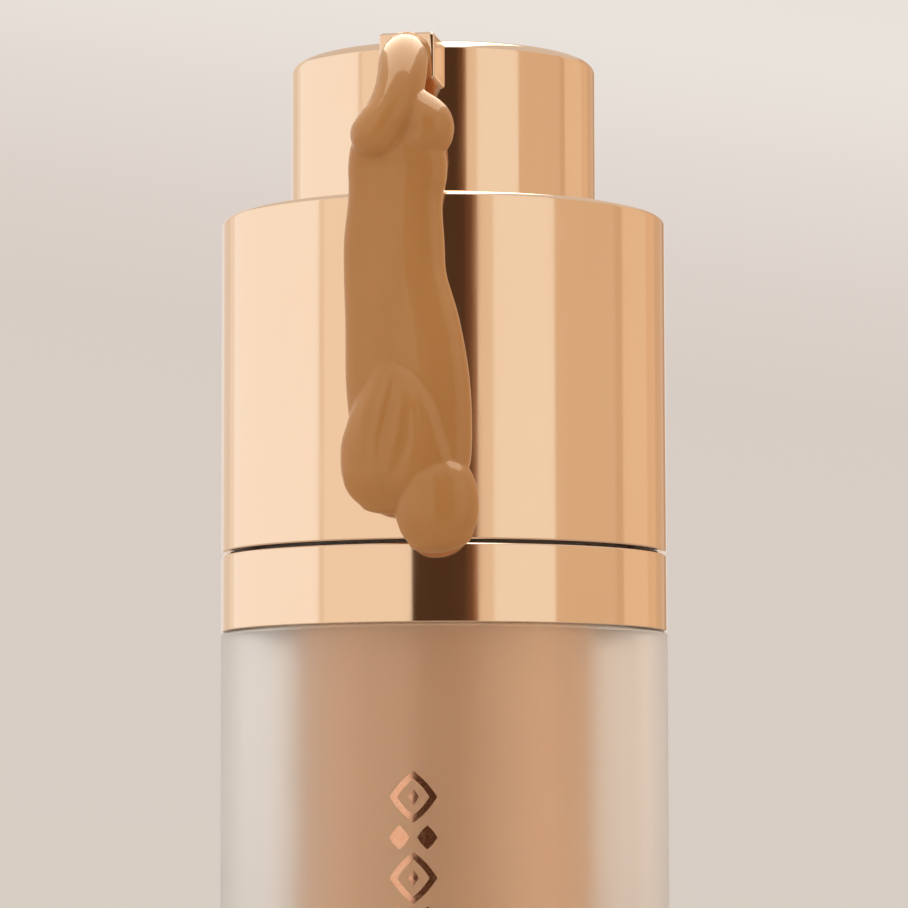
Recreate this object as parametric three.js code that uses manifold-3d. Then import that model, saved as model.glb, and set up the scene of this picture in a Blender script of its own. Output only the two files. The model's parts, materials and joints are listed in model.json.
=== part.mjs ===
// Twist-up airless foundation bottle, 30 ml, shown open with a dollop of foundation just pumped out.
// Millimetres, +Z up, origin at the centre of the flat base. The nozzle faces -Y.
//
// Turning the collar drives three lugs up helical slots, so the whole pump, the inner cup and the
// button rise together. Pressing the button then works the pump, and a follower piston climbs the cup
// as it empties.
import * as THREE from "three";
import { mergeVertices } from "three/addons/utils/BufferGeometryUtils.js";
import Module from "manifold-3d";

const wasm = await Module();
wasm.setup();

// ---- Driving dimensions -------------------------------------------------------------------------
const bodyRadius = 18.5; // outer bottle and lower ring
const shoulderHeight = 78; // base to the shoulder that the lower ring sits on
const bottleWall = 2.5;
const floorThickness = 3.2;
const baseChamfer = 0.8;

const liftTravel = 12.8; // how far the collar raises the pump and the cup
const twistAngle = Math.PI / 2; // collar turn for that travel
const pumpStroke = 3.2; // button press
const sealLag = 0.7; // free play of the piston seal on its rod, which opens the outlet
const ballLift = 0.8;

const slideGap = 0.3; // between sleeves that slide or turn in each other
const seatGap = 0.15; // between faces that rest on each other
const bondGap = 0.25; // glue line under the collar

const neckStep = 1.3; // outer bottle's shoulder width
const neckHeight = 4.4;
const snapBead = 0.15;
const ringHeight = 6.3;
const ringLip = 0.95;
const twistJoint = 0.25; // open line between the lower ring and the collar
const edgeBreak = 0.15; // small chamfers on the metal rims

const collarWall = 0.7;
const collarEdge = 0.45; // rounded rim

const guideWall = 1.05;
const guideFlange = 0.8;
const camWeb = 0.7; // material left above and below the helical slots
const lugCount = 3;
const lugRadius = 1.0;
const lugPlay = 0.2;

const liftWall = 1.25;
const webThickness = 1.4;
const skirtOverlap = 2.7; // button skirt held inside the lift sleeve
const skirtClearance = 0.6; // under the skirt when the button is fully down

const buttonGap = 0.35;
const buttonWall = 0.8;
const buttonTop = 0.9;
const buttonEdge = 0.9; // rounded top edge
const buttonDish = 0.35; // finger dish in the top
const buttonProud = 0.45; // of the rim, when twisted shut

const nozzleWidth = 4.5;
const nozzleHeight = 3.8;
const nozzleBevel = 0.22;
const nozzleGap = 0.5; // nozzle front to the collar's bore
const nozzleDrop = 0.3; // nozzle top below the button top
const nozzleClearance = 1.6; // over the guide sleeve, shut and pressed
const mouthRadius = 1.65;
const mouthDepth = 2.6;
const tenonRadius = 1.2;
const channelRadius = 0.75;
const channelDrop = 0.5;
const tenonLength = 3.0;

const cupGap = 0.9;
const cupWall = 1.0;
const cupNeckHeight = 8.1;
const cupNeckWall = 1.25;
const cupClearance = 2.0; // under the cup when twisted shut
const plugThickness = 1.6;
const ventRadius = 1.0;
const followerHeight = 10;
const followerWall = 1.1;
const followerWell = 8.2;
const wiperGap = 0.15;

const gasketThickness = 0.6;
const flangeThickness = 1.5;
const barrelBore = 4.95;
const barrelWall = 1.15;
const stemRadius = 2.4;
const stemBore = 1.3;
const sealHeight = 3.0;
const sealSkirt = 1.3;
const sealHeadroom = 6.2;
const rodFlange = 1.2;
const ballRadius = 1.6;
const cageBore = 2.0;
const inletRadius = 1.1;
const inletNipple = 2.4;

const springLength = 10.2; // at rest in the pump
const springTurns = 6.5;
const springWire = 0.7;
const springRadius = 4.6;

const fillGap = 0.3;
const creamGap = 0.3; // between the dollop and what it hangs in front of

const FINE = 40; // sides of the large round parts
const MEDIUM = 32;
const SMALL = 20;

// ---- Sizes that follow -------------------------------------------------------------------------
const bottleBore = bodyRadius - bottleWall;
const neckRadius = bodyRadius - neckStep;
const neckTop = shoulderHeight + neckHeight;
const beadHeight = shoulderHeight + neckHeight * 0.45;
const ringBottom = shoulderHeight + seatGap;
const ringTop = ringBottom + ringHeight;

const guideRadius = bottleBore - slideGap;
const guideBore = guideRadius - guideWall;
const liftRadius = guideBore - slideGap;
const liftBore = liftRadius - liftWall;
const buttonRadius = liftBore - buttonGap;
const collarBore = bodyRadius - collarWall;
const camRadius = collarBore - bondGap;
const camBore = guideRadius + slideGap + 0.05;

const camSlope = liftTravel / twistAngle; // rise per radian
const camMean = (camRadius + camBore) / 2;
const slotHalf = (lugRadius + lugPlay) * Math.hypot(1, camSlope / camMean);
const slotRun = (lugRadius + 1.25 * lugPlay) / camMean; // radians of slot past each lug position

const collarBottom = ringTop + twistJoint;
const camBottom = collarBottom + 0.2;
const lugLow = camBottom + camWeb + slotHalf + slotRun * camSlope;
const lugHigh = lugLow + liftTravel;
const camTop = lugHigh + slotRun * camSlope + slotHalf + camWeb;
const guideTop = camTop + seatGap + guideFlange;
const nozzleBottom = guideTop + nozzleClearance + pumpStroke + liftTravel;
const nozzleAxis = nozzleBottom + nozzleHeight / 2;
const topHeight = nozzleBottom + nozzleHeight + nozzleDrop;
const collarTop = topHeight - liftTravel - buttonProud;
const nozzleFront = collarBore - nozzleGap;
const mouthFloor = nozzleFront - mouthDepth;

const webTop = lugHigh + lugRadius + 0.6;
const skirtBottom = webTop + skirtClearance + pumpStroke;
const liftTop = skirtBottom + skirtOverlap;
const flangeTop = webTop - webThickness - seatGap;
const flangeBottom = flangeTop - flangeThickness;
const cupTop = flangeBottom - gasketThickness - 2 * seatGap;
const cupShoulder = cupTop - cupNeckHeight;
const cupRadius = guideBore - cupGap;
const cupBore = cupRadius - cupWall;
const cupNeckRadius = liftBore - slideGap;
const cupNeckBore = cupNeckRadius - cupNeckWall;
const cupBottom = floorThickness + cupClearance + liftTravel;
const followerBottom = cupBottom + plugThickness + 0.6;
const followerTop = followerBottom + followerHeight;
const wellFloor = followerTop - followerWell;

const barrelRadius = barrelBore + barrelWall;
const wellRadius = barrelRadius + 0.7; // in the follower, takes the inlet when the cup is empty
const bossRadius = barrelRadius + 0.2;
const guideBushBottom = flangeTop - 2;
const sealTop = guideBushBottom - sealHeadroom;
const sealHubTop = sealTop - sealSkirt;
const stemBottom = sealHubTop + sealLag;
const sealBottom = sealHubTop - sealHeight;
const rodBottom = sealBottom - 0.1 - rodFlange;
const chamberFloor = rodBottom - 0.4 - pumpStroke;
const cageTop = chamberFloor - 0.5;
const ballHeight = cageTop - 0.1 - ballLift - ballRadius;
const seatTop = ballHeight + cageBore - (ballRadius + seatGap) * Math.SQRT2;
const seatBottom = seatTop - (cageBore - inletRadius);
const inletBottom = seatBottom - inletNipple;

const bushTop = webTop + 0.3;
const springBottom = bushTop + 0.1;
const plateBottom = springBottom + springLength + 0.1;
const plateThickness = 1.4;
const hubBottom = plateBottom - 2.8;
const stemTop = hubBottom + 6;
const channelAxis = nozzleAxis - channelDrop;
const armTop = topHeight - buttonDish - buttonTop - 0.15;
const armFront = buttonRadius - buttonWall - 0.3;

// ---- Materials ---------------------------------------------------------------------------------
const material = (color, roughness, metalness, opacity = 1) =>
  new THREE.MeshStandardMaterial({ color, roughness, metalness, opacity, transparent: opacity < 1 });
const roseGold = material(0xe9b48c, 0.12, 1);
const frostedAcrylic = material(0xeae6e0, 0.5, 0, 0.5);
const cupPlastic = material(0xe8d8c4, 0.3, 0, 0.7);
const foundation = material(0xc08a58, 0.35, 0);
const whitePlastic = material(0xf2efe8, 0.45, 0);
const naturalPlastic = material(0xe4e2da, 0.4, 0);
const steel = material(0xc8cacc, 0.25, 1);
const rubber = material(0x8c8a86, 0.7, 0);

// ---- Geometry helpers --------------------------------------------------------------------------

// Revolves [radius, height] points, listed anticlockwise, about Z.
function turned(points, sides) {
  const outline = points.map(([r, z]) => new THREE.Vector2(r, z));
  return new THREE.LatheGeometry(outline, sides).rotateX(Math.PI / 2);
}

// A tube-like profile: the same, closed on itself.
const ring = (points, sides) => turned([...points, points[0]], sides);

// Points of an arc in a profile, with angles in degrees from the outward radius.
function arc(r, z, radius, from, to, steps = 4) {
  return Array.from({ length: steps + 1 }, (_, i) => {
    const a = THREE.MathUtils.degToRad(from + ((to - from) * i) / steps);
    return [r + radius * Math.cos(a), z + radius * Math.sin(a)];
  });
}

const upright = (radius, bottom, top, sides = SMALL) =>
  new THREE.CylinderGeometry(radius, radius, top - bottom, sides)
    .rotateX(Math.PI / 2)
    .translate(0, 0, (top + bottom) / 2);

// A cylinder along -Y at a height, between two distances from the axis.
const forward = (radius, height, from, to, sides = SMALL) =>
  new THREE.CylinderGeometry(radius, radius, to - from, sides).translate(0, -(from + to) / 2, height);

const block = (width, bottom, top, from, to) =>
  new THREE.BoxGeometry(width, to - from, top - bottom).translate(0, -(from + to) / 2, (top + bottom) / 2);

// A manifold solid of a closed geometry, for cutting and joining.
function solid(geometry) {
  const bare = geometry.clone();
  for (const name of Object.keys(bare.attributes)) if (name !== "position") bare.deleteAttribute(name);
  const merged = mergeVertices(bare, 1e-4);
  const index = merged.index.array;
  const faces = [];
  for (let i = 0; i < index.length; i += 3) {
    const [a, b, c] = index.slice(i, i + 3);
    if (a !== b && b !== c && a !== c) faces.push(a, b, c);
  }
  return new wasm.Manifold(
    new wasm.Mesh({
      numProp: 3,
      vertProperties: merged.attributes.position.array,
      triVerts: new Uint32Array(faces),
    }),
  );
}

const join = (first, ...others) => others.reduce((sum, g) => sum.add(solid(g)), solid(first));
const cut = (body, ...tools) => tools.reduce((rest, g) => rest.subtract(solid(g)), body);

// The geometry of a solid.
function geometryOf(body) {
  const { vertProperties, triVerts } = body.getMesh();
  const flat = new THREE.BufferGeometry();
  flat.setAttribute("position", new THREE.BufferAttribute(new Float32Array(vertProperties), 3));
  flat.setIndex(new THREE.BufferAttribute(new Uint32Array(triVerts), 1));
  flat.computeVertexNormals();
  return flat;
}

function part(name, shape, look) {
  const mesh = new THREE.Mesh(shape.isBufferGeometry ? shape : geometryOf(shape), look);
  mesh.name = name;
  return mesh;
}

// Copies of a geometry, evenly spaced round Z.
const around = (count, make) =>
  Array.from({ length: count }, (_, i) => make().rotateZ((i * 2 * Math.PI) / count));

// ---- Bottle: what stands still -------------------------------------------------------------------

function outerBottle() {
  return part(
    "outer_bottle",
    turned(
      [
        [0, 0],
        [bodyRadius - baseChamfer, 0],
        ...arc(bodyRadius - baseChamfer, baseChamfer, baseChamfer, -60, 0, 2),
        [bodyRadius, shoulderHeight],
        [neckRadius, shoulderHeight],
        [neckRadius, beadHeight - 0.5],
        [neckRadius + snapBead, beadHeight],
        [neckRadius, beadHeight + 0.5],
        [neckRadius, neckTop],
        [bottleBore, neckTop],
        [bottleBore, floorThickness + 1.2],
        ...arc(bottleBore - 1.2, floorThickness + 1.2, 1.2, -30, -90, 2),
        [0, floorThickness],
      ],
      FINE,
    ),
    frostedAcrylic,
  );
}

function lowerRing() {
  const bore = neckRadius + snapBead + 0.1;
  return part(
    "lower_ring",
    ring(
      [
        [bore, ringBottom],
        [bodyRadius - edgeBreak, ringBottom],
        [bodyRadius, ringBottom + edgeBreak],
        [bodyRadius, ringTop - edgeBreak],
        [bodyRadius - edgeBreak, ringTop],
        [guideRadius + 0.6, ringTop],
        [guideRadius + 0.6, ringTop - ringLip],
        [bore, ringTop - ringLip],
        [bore, beadHeight + 0.7],
        [bore + 0.1, beadHeight],
        [bore, beadHeight - 0.7],
      ],
      FINE,
    ),
    roseGold,
  );
}

function guideSleeve() {
  const flange = neckTop + 0.1;
  const sleeve = ring(
    [
      [guideBore, shoulderHeight],
      [guideRadius, shoulderHeight],
      [guideRadius, flange],
      [neckRadius - 0.1, flange],
      [neckRadius - 0.1, flange + guideFlange],
      [guideRadius, flange + guideFlange],
      [guideRadius, guideTop - guideFlange],
      [camRadius - 0.05, guideTop - guideFlange],
      [camRadius - 0.05, guideTop],
      [guideBore + 0.3, guideTop],
      [guideBore, guideTop - 0.3],
    ],
    FINE,
  );
  const play = lugRadius + lugPlay + 0.05;
  const slots = around(lugCount, () =>
    block(2 * play, lugLow - play - 0.1, lugHigh + play + 0.1, guideBore - 1, guideRadius + 1),
  );
  return part("guide_sleeve", cut(solid(sleeve), ...slots), whitePlastic);
}

// ---- Collar: what turns ------------------------------------------------------------------------

function twistCollar() {
  return part(
    "twist_collar",
    ring(
      [
        [collarBore, collarBottom],
        [bodyRadius - edgeBreak, collarBottom],
        [bodyRadius, collarBottom + edgeBreak],
        ...arc(bodyRadius - collarEdge, collarTop - collarEdge, collarEdge, 0, 90, 3),
        [collarBore, collarTop],
      ],
      FINE,
    ),
    roseGold,
  );
}

// A helical slot: a segmented box bent round Z and sheared upwards. Its lug stands at the upper end.
function helicalSlot() {
  const span = twistAngle + 2 * slotRun;
  const bent = new THREE.BoxGeometry(span, camRadius - camBore + 2, 2 * slotHalf, 14, 1, 1);
  const position = bent.attributes.position;
  for (let i = 0; i < position.count; i++) {
    const turn = position.getX(i) - twistAngle / 2;
    const angle = turn - Math.PI / 2;
    const radius = camMean - position.getY(i);
    const height = position.getZ(i) + lugHigh + turn * camSlope;
    position.setXYZ(i, radius * Math.cos(angle), radius * Math.sin(angle), height);
  }
  return bent;
}

function camSleeve() {
  const sleeve = ring(
    [
      [camBore, camBottom],
      [camRadius, camBottom],
      [camRadius, camTop],
      [camBore, camTop],
    ],
    FINE,
  );
  return part("cam_sleeve", cut(solid(sleeve), ...around(lugCount, helicalSlot)), whitePlastic);
}

// ---- Lift: what rises with the collar ------------------------------------------------------------

function liftSleeve() {
  const sleeve = ring(
    [
      [liftBore, cupShoulder + 0.3],
      [liftRadius, cupShoulder + 0.3],
      [liftRadius, liftTop - 0.3],
      [liftRadius - 0.3, liftTop],
      [liftBore + 0.3, liftTop],
      [liftBore, liftTop - 0.3],
      [liftBore, webTop],
      [bossRadius + 0.3, webTop],
      [bossRadius + 0.3, webTop - webThickness],
      [liftBore, webTop - webThickness],
    ],
    FINE,
  );
  const lugs = around(lugCount, () =>
    forward(lugRadius, lugHigh, liftRadius - 0.5, camRadius - 0.2, 16),
  );
  return part("lift_sleeve", join(sleeve, ...lugs), whitePlastic);
}

function innerCup() {
  return part(
    "inner_cup",
    ring(
      [
        [cupBore, cupBottom],
        [cupRadius, cupBottom],
        [cupRadius, cupShoulder - 0.4],
        [cupRadius - 0.4, cupShoulder],
        [cupNeckRadius, cupShoulder],
        [cupNeckRadius, cupTop],
        [cupNeckBore, cupTop],
        [cupNeckBore, cupShoulder],
        [cupBore, cupShoulder - 1.4],
      ],
      FINE,
    ),
    cupPlastic,
  );
}

function cupPlug() {
  const top = cupBottom + plugThickness;
  return part(
    "cup_plug",
    ring(
      [
        [ventRadius, cupBottom + 0.2],
        [cupBore - 0.2, cupBottom + 0.2],
        [cupBore - 0.2, top],
        [cupBore - 1.2, top],
        [cupBore - 1.2, cupBottom + 0.9],
        [ventRadius, cupBottom + 0.9],
      ],
      MEDIUM,
    ),
    naturalPlastic,
  );
}

function foundationFill() {
  const bottom = followerTop + fillGap;
  const neck = cupNeckBore - fillGap;
  const round = barrelRadius + fillGap;
  return part(
    "foundation_fill",
    turned(
      [
        [0, wellFloor + fillGap],
        [wellRadius - fillGap, wellFloor + fillGap],
        [wellRadius - fillGap, bottom],
        [cupBore - fillGap, bottom],
        [cupBore - fillGap, cupShoulder - 1.7],
        [neck, cupShoulder - 0.3],
        [neck, flangeBottom - fillGap],
        [round, flangeBottom - fillGap],
        [round, inletBottom - fillGap],
        [0, inletBottom - fillGap],
      ],
      MEDIUM,
    ),
    foundation,
  );
}

function cupGasket() {
  const bottom = cupTop + seatGap;
  return part(
    "cup_gasket",
    ring(
      [
        [cupNeckBore + 0.1, bottom],
        [cupNeckRadius - 0.1, bottom],
        [cupNeckRadius - 0.1, bottom + gasketThickness],
        [cupNeckBore + 0.1, bottom + gasketThickness],
      ],
      MEDIUM,
    ),
    rubber,
  );
}

function pumpHousing() {
  const nipple = inletRadius + 1;
  return part(
    "pump_housing",
    ring(
      [
        [inletRadius, inletBottom],
        [nipple, inletBottom],
        [nipple, seatBottom],
        [cageBore + 1, seatTop],
        [cageBore + 1, cageTop - 1],
        [barrelRadius, chamberFloor],
        [barrelRadius, flangeBottom],
        [cupNeckRadius - 0.2, flangeBottom],
        [cupNeckRadius - 0.2, flangeTop],
        [bossRadius, flangeTop],
        [bossRadius, webTop - 0.3],
        [barrelBore, webTop - 0.3],
        [barrelBore, chamberFloor],
        [ballRadius - 0.15, chamberFloor],
        [ballRadius - 0.15, cageTop],
        [cageBore, cageTop],
        [cageBore, seatTop],
        [inletRadius, seatBottom],
      ],
      SMALL,
    ),
    naturalPlastic,
  );
}

function stemBush() {
  const bore = stemRadius + 0.2;
  return part(
    "stem_bush",
    ring(
      [
        [bore, guideBushBottom],
        [barrelBore - 0.15, guideBushBottom],
        [barrelBore - 0.15, webTop - 0.15],
        [bossRadius, webTop - 0.15],
        [bossRadius, bushTop],
        [bore, bushTop],
      ],
      SMALL,
    ),
    whitePlastic,
  );
}

class Helix extends THREE.Curve {
  getPoint(t, target = new THREE.Vector3()) {
    const turn = t * springTurns * 2 * Math.PI;
    const rise = springBottom + springWire / 2 + t * (springLength - springWire);
    return target.set(springRadius * Math.cos(turn), springRadius * Math.sin(turn), rise);
  }
}

function pumpSpring() {
  const section = new THREE.Shape().absarc(0, 0, springWire / 2, 0, 2 * Math.PI);
  return part(
    "pump_spring",
    new THREE.ExtrudeGeometry(section, {
      steps: Math.round(springTurns * 12),
      curveSegments: 3,
      bevelEnabled: false,
      extrudePath: new Helix(),
    }),
    steel,
  );
}

// ---- Small pieces that move on their own ---------------------------------------------------------

function inletBall() {
  const ball = part("inlet_ball", new THREE.SphereGeometry(ballRadius, 16, 10).rotateX(Math.PI / 2), steel);
  ball.position.z = ballHeight;
  return ball;
}

function followerPiston() {
  const lip = cupBore - wiperGap;
  const body = lip - 0.4;
  return part(
    "follower_piston",
    turned(
      [
        [0, wellFloor - followerWall],
        [wellRadius + followerWall, wellFloor - followerWall],
        [wellRadius + followerWall, followerTop - followerWall - 1.2],
        [body - followerWall, followerTop - followerWall - 1.2],
        [body - followerWall, followerBottom],
        [lip, followerBottom],
        [body, followerBottom + 1.4],
        [body, followerTop - 1.4],
        [lip, followerTop],
        [body - followerWall, followerTop - 1.2],
        [wellRadius, followerTop - 1.2],
        [wellRadius, wellFloor],
        [0, wellFloor],
      ],
      MEDIUM,
    ),
    naturalPlastic,
  );
}

function pistonSeal() {
  const lip = barrelBore - 0.15;
  const bore = stemBore + 0.45;
  return part(
    "piston_seal",
    ring(
      [
        [bore, sealBottom],
        [lip - 1.1, sealBottom],
        [lip - 0.9, sealBottom + 0.6],
        [lip, sealBottom - 0.4],
        [lip - 0.35, sealBottom + 1.2],
        [lip - 0.35, sealHubTop],
        [lip, sealTop],
        [lip - 0.5, sealTop],
        [lip - 1.1, sealHubTop - 0.4],
        [bore + 0.9, sealHubTop - 0.4],
        [bore + 0.8, sealHubTop],
        [bore, sealHubTop],
      ],
      SMALL,
    ),
    naturalPlastic,
  );
}

// ---- Button: what is pressed -------------------------------------------------------------------

function pumpStem() {
  const tube = ring(
    [
      [stemBore, stemBottom],
      [stemRadius, stemBottom],
      [stemRadius, stemTop],
      [stemBore, stemTop],
    ],
    SMALL,
  );
  const port = block(0.9, stemBottom - 1, stemBottom + 1.1, -stemRadius - 1, stemRadius + 1);
  return part("pump_stem", cut(solid(tube), port), whitePlastic);
}

function pistonRod() {
  const shank = stemBore - 0.1;
  const neck = stemBore + 0.25;
  const rod = turned(
    [
      [0, rodBottom],
      [neck + 0.9, rodBottom],
      [neck + 1.5, rodBottom + 0.4],
      [neck + 1.5, rodBottom + rodFlange],
      [neck, rodBottom + rodFlange],
      [neck, stemBottom - 0.2],
      [shank, stemBottom - 0.2],
      [shank, stemBottom + 4],
      [0, stemBottom + 4],
    ],
    SMALL,
  );
  const grooves = around(3, () =>
    block(0.7, sealBottom, stemBottom + 5, shank - 0.45, shank + 0.6),
  );
  return part("piston_rod", cut(solid(rod), ...grooves), whitePlastic);
}

function buttonCore() {
  const hub = stemRadius + 1.1;
  const inner = armFront - 0.15;
  const body = join(
    upright(hub, hubBottom, armTop),
    upright(inner, plateBottom, plateBottom + plateThickness, MEDIUM),
    block(2 * (tenonRadius + 1.1), channelAxis - tenonRadius - 0.7, armTop, 0, armFront),
  );
  return part(
    "button_core",
    cut(
      body,
      upright(stemRadius + 0.1, hubBottom - 1, stemTop + 0.15),
      upright(channelRadius + 0.3, stemTop, channelAxis),
      forward(channelRadius, channelAxis, -channelRadius, armFront + 1, 16),
      forward(tenonRadius + 0.12, channelAxis, buttonRadius - tenonLength, armFront + 1),
    ),
    whitePlastic,
  );
}

function buttonCap() {
  const bore = buttonRadius - buttonWall;
  const dishRadius = buttonRadius - buttonEdge - 1.4;
  const ceiling = topHeight - buttonDish - buttonTop;
  const cap = turned(
    [
      [0, ceiling],
      [bore, ceiling],
      [bore, skirtBottom],
      [buttonRadius, skirtBottom],
      ...arc(buttonRadius - buttonEdge, topHeight - buttonEdge, buttonEdge, 0, 90, 4),
      [dishRadius, topHeight],
      [dishRadius * 0.8, topHeight - buttonDish * 0.55],
      [dishRadius * 0.5, topHeight - buttonDish * 0.9],
      [0, topHeight - buttonDish],
    ],
    FINE,
  );
  const window = forward(tenonRadius + 0.15, channelAxis, bore - 1, buttonRadius + 1);
  return part("button_cap", cut(solid(cap), window), roseGold);
}

function nozzle() {
  const w = nozzleWidth / 2 - nozzleBevel;
  const h = nozzleHeight / 2 - nozzleBevel;
  const face = new THREE.Shape([
    new THREE.Vector2(-w, -h),
    new THREE.Vector2(w, -h),
    new THREE.Vector2(w, h),
    new THREE.Vector2(-w, h),
  ]);
  const inside = buttonRadius - 2;
  const bar = new THREE.ExtrudeGeometry(face, {
    depth: nozzleFront - inside - 2 * nozzleBevel,
    bevelThickness: nozzleBevel,
    bevelSize: nozzleBevel,
    bevelSegments: 2,
  });
  bar.rotateX(Math.PI / 2).translate(0, -inside - nozzleBevel, nozzleAxis);
  const spout = cut(solid(bar), upright(buttonRadius + seatGap, nozzleBottom - 1, topHeight + 1, FINE));
  const tenon = forward(tenonRadius, channelAxis, buttonRadius - tenonLength + 0.15, buttonRadius + 1);
  return part(
    "nozzle",
    cut(
      spout.add(solid(tenon)),
      forward(mouthRadius, nozzleAxis, mouthFloor, nozzleFront + 1),
      forward(channelRadius, channelAxis, buttonRadius - tenonLength - 1, mouthFloor + 0.2, 16),
    ),
    roseGold,
  );
}

// The dollop: a thick ribbon from the nozzle's mouth, over the rim and down in front of the collar.
// Each row holds sideways place, distance out from the body, height against the nozzle's axis, half
// the width and half the depth.
const creamRoute = [
  [0.0, -3.3, 0.0, 1.3, 1.3],
  [0.0, -1.8, 0.0, 1.3, 1.3],
  [0.0, -0.5, -0.3, 1.6, 1.55],
  [0.0, 0.7, -1.2, 1.95, 1.85],
  [-0.1, 1.8, -2.9, 2.3, 1.9],
  [0.0, 2.3, -5.0, 3.5, 2.1],
  [-0.1, 2.3, -7.3, 3.9, 2.1],
  [-0.2, 2.0, -10.2, 3.8, 1.8],
  [-0.4, 1.9, -14.0, 3.9, 1.7],
  [-0.4, 1.9, -18.5, 4.1, 1.7],
  [0.1, 2.1, -22.5, 4.5, 1.8],
  [0.4, 2.4, -27.0, 4.9, 2.0],
  [0.8, 2.6, -32.0, 5.2, 2.2],
  [2.2, 2.7, -36.0, 4.3, 2.2],
  [3.0, 2.7, -38.6, 3.1, 1.9],
  [3.2, 2.6, -40.4, 1.7, 1.2],
];

function dispensedFoundation() {
  const curve = (pick) => new THREE.CatmullRomCurve3(creamRoute.map(pick));
  const spine = curve(([x, out, z]) => new THREE.Vector3(x, -(bodyRadius + out), nozzleAxis + z));
  const size = curve(([, , , width, depth]) => new THREE.Vector3(width, depth, 0));
  const steps = 28;
  const ribbon = new THREE.CylinderGeometry(1, 1, 1, 14, steps);
  const position = ribbon.attributes.position;
  const across = new THREE.Vector3(1, 0, 0);
  for (let i = 0; i < position.count; i++) {
    const t = THREE.MathUtils.clamp(0.5 - position.getY(i), 0, 1);
    const half = size.getPoint(t);
    const outward = new THREE.Vector3().crossVectors(across, spine.getTangent(t)).normalize();
    const point = spine
      .getPoint(t)
      .addScaledVector(across, position.getX(i) * half.x)
      .addScaledVector(outward, -position.getZ(i) * half.y);
    position.setXYZ(i, point.x, point.y, point.z);
  }
  const clear = upright(bodyRadius + creamGap, 0, nozzleBottom - creamGap, FINE);
  return part("dispensed_foundation", cut(solid(ribbon), clear), foundation);
}

// ---- Assembly: one group for each thing that moves together -----------------------------------------

const groupOf = (name, ...children) => {
  const group = new THREE.Group();
  group.name = name;
  return group.add(...children);
};

const button = groupOf(
  "button",
  buttonCap(),
  nozzle(),
  buttonCore(),
  pumpStem(),
  pistonRod(),
  pistonSeal(),
  dispensedFoundation(),
);
const lift = groupOf(
  "lift",
  liftSleeve(),
  innerCup(),
  cupPlug(),
  foundationFill(),
  cupGasket(),
  pumpHousing(),
  stemBush(),
  pumpSpring(),
  inletBall(),
  followerPiston(),
  button,
);
const collar = groupOf("collar", twistCollar(), camSleeve());

export default groupOf("foundation_bottle", outerBottle(), lowerRing(), guideSleeve(), collar, lift);
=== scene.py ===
"""Foundation bottle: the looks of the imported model, with its studio and camera."""

import json
import math

import bpy
from mathutils import Euler, Matrix, Vector


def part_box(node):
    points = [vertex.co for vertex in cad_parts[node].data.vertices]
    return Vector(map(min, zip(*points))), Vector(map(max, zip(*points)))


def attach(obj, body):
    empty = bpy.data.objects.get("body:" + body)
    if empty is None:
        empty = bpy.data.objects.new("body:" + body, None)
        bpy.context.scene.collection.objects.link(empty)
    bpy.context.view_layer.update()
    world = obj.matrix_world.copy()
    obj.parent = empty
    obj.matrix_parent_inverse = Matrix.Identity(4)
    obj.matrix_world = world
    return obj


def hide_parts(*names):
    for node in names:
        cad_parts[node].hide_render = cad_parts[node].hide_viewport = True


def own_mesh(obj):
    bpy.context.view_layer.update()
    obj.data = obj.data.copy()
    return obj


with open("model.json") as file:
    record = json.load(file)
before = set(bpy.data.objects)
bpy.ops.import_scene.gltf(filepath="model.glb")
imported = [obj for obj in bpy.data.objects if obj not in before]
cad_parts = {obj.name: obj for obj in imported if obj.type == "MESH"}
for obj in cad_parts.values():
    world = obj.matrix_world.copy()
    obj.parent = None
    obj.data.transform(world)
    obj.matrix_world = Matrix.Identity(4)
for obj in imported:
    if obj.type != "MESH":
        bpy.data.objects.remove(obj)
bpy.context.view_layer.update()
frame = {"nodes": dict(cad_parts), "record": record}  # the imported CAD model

MM = 0.001


# ---- Sizes read from the frame -----------------------------------------------------------------

def low(node):
    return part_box(node)[0]


def high(node):
    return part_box(node)[1]


BODY_RADIUS = high("outer_bottle").x
SHOULDER = low("lower_ring").z
COLLAR_RADIUS = high("twist_collar").x
CAP_RADIUS = high("button_cap").x
CAP_TOP = high("button_cap").z
NOZZLE_LOW, NOZZLE_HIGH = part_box("nozzle")
NOZZLE_AXIS = (NOZZLE_LOW.z + NOZZLE_HIGH.z) / 2
CUP_RADIUS = high("inner_cup").x

BOTTLE_WALL = 2.5 * MM
BOTTLE_FLOOR = 3.2 * MM
NECK_RADIUS = BODY_RADIUS - 1.3 * MM
COLLAR_WALL = 0.7 * MM
CAP_WALL = 0.8 * MM
CAP_DISH = 0.35 * MM
CUP_WALL = 1.0 * MM
CUP_NECK_HEIGHT = 8.1 * MM
WELL_DEPTH = 8.2 * MM  # the follower's well, which takes the foot of the pump
FILL_GAP = 0.15 * MM  # between the follower and the foundation over it
MOUTH_RADIUS = 1.65 * MM
MOUTH_DEPTH = 2.6 * MM
SPOUT_CHANNEL = 0.75 * MM

ROUND = 192  # sides of a turned piece


# ---- Camera: from a little below the lower ring, looking slightly up ------------------------------

VIEW_AZIMUTH = math.radians(9.6)
VIEW_DISTANCE = 0.332
VIEW_DROP = 0.0153  # below the lower ring's lower edge
VIEW_PITCH = math.radians(5.2)
VIEW_YAW = math.radians(0.146)
VIEW_ROLL = math.radians(0.14)
LENS = 158.6
SENSOR = 36


def direction(azimuth):
    """The level direction at an angle round the bottle, measured from the camera's side to its right."""
    return Vector((math.sin(VIEW_AZIMUTH + azimuth), -math.cos(VIEW_AZIMUTH + azimuth), 0))


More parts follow.
